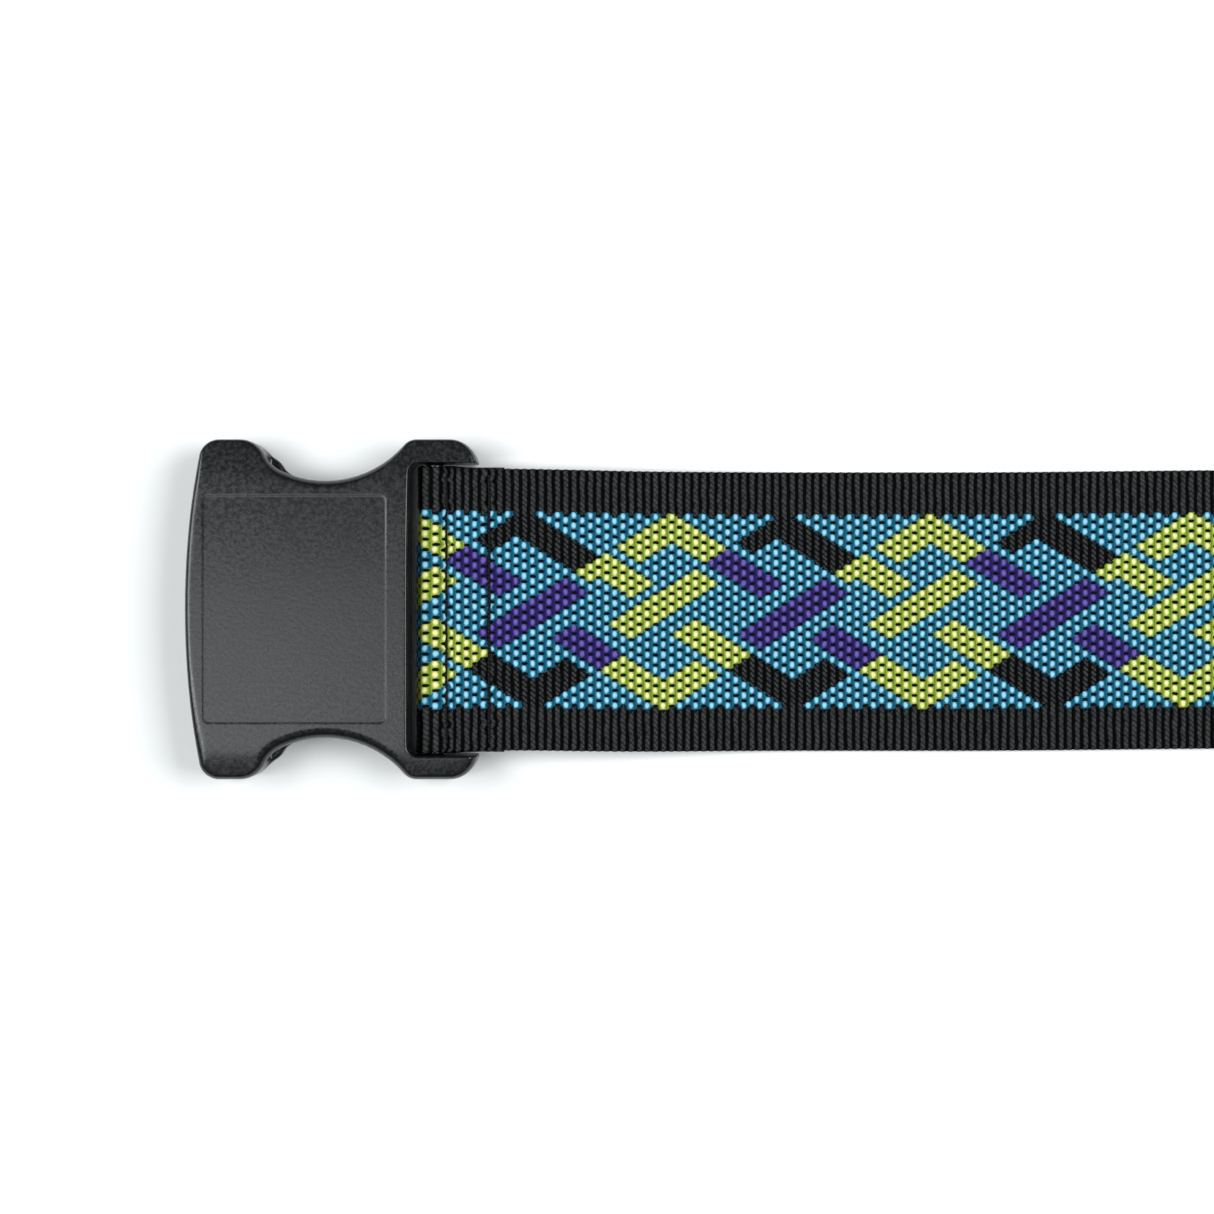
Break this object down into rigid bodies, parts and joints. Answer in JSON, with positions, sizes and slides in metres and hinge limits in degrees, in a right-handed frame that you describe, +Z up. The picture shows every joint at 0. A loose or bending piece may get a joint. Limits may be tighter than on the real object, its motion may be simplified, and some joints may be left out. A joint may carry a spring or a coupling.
{
  "type": "gait belt",
  "caption": "Patterned webbing transfer belt with a side-release buckle, rolled flat, receptacle at one end and adjustable plug at the other.",
  "frame": {"origin": "middle of the buckle receptacle's flat underside", "axes": "+X along the belt from the receptacle towards the roll, +Y across the belt, +Z up"},
  "size_m": [0.3958, 0.0608, 0.0236],
  "materials": {
    "buckle_plastic": "satin moulded, fine mottled grain",
    "webbing": "ribbed jacquard weave, black borders, teal ground with lime, purple and black bands",
    "thread": "black sewing thread"
  },
  "bodies": {
    "strap": {"strap_anchor_loop": "webbing", "anchor_stitching_inner": "thread", "anchor_stitching_outer": "thread", "strap_front_run": "webbing", "strap_roll": "webbing"},
    "receptacle": {"receptacle": "buckle_plastic"},
    "strap_end": {"strap_top_root": "webbing", "strap_plug_run": "webbing"},
    "plug": {"plug_frame": "buckle_plastic", "strap_plug_loop": "webbing"},
    "arm_upper": {"plug_arm_upper": "buckle_plastic"},
    "arm_lower": {"plug_arm_lower": "buckle_plastic"},
    "tail": {"strap_tail": "webbing", "tail_hem": "webbing", "hem_stitching": "thread"}
  },
  "joints": [
    {"name": "receptacle_pivot", "type": "hinge", "parent": "strap", "child": "receptacle", "pos_m": [0.0223, 0, 0.006], "axis": [0, 1, 0], "range_deg": [0, 100]},
    {"name": "plug_end_lift", "type": "hinge", "parent": "strap", "child": "strap_end", "pos_m": [0.1903, 0, 0.013], "axis": [0, -1, 0], "range_deg": [0, 90]},
    {"name": "length_adjust", "type": "slide", "parent": "strap_end", "child": "plug", "axis": [1, 0, 0], "range_m": [-0.02, 0.015], "deforming": ["strap_plug_run"]},
    {"name": "tail_feed", "type": "slide", "parent": "plug", "child": "tail", "axis": [1, 0, 0], "range_m": [-0.02, 0.015], "deforming": ["strap_tail"]},
    {"name": "arm_upper_squeeze", "type": "hinge", "parent": "plug", "child": "arm_upper", "pos_m": [0.3393, 0.0174, 0.0176], "axis": [0, 0, -1], "range_deg": [0, 10], "stiffness_Nm_per_rad": 0.1},
    {"name": "arm_lower_squeeze", "type": "hinge", "parent": "plug", "child": "arm_lower", "pos_m": [0.3393, -0.0174, 0.0176], "axis": [0, 0, 1], "range_deg": [0, 10], "stiffness_Nm_per_rad": 0.1}
  ],
  "couplings": [
    {"joint": "tail_feed", "follows": "length_adjust", "ratio": 1}
  ]
}
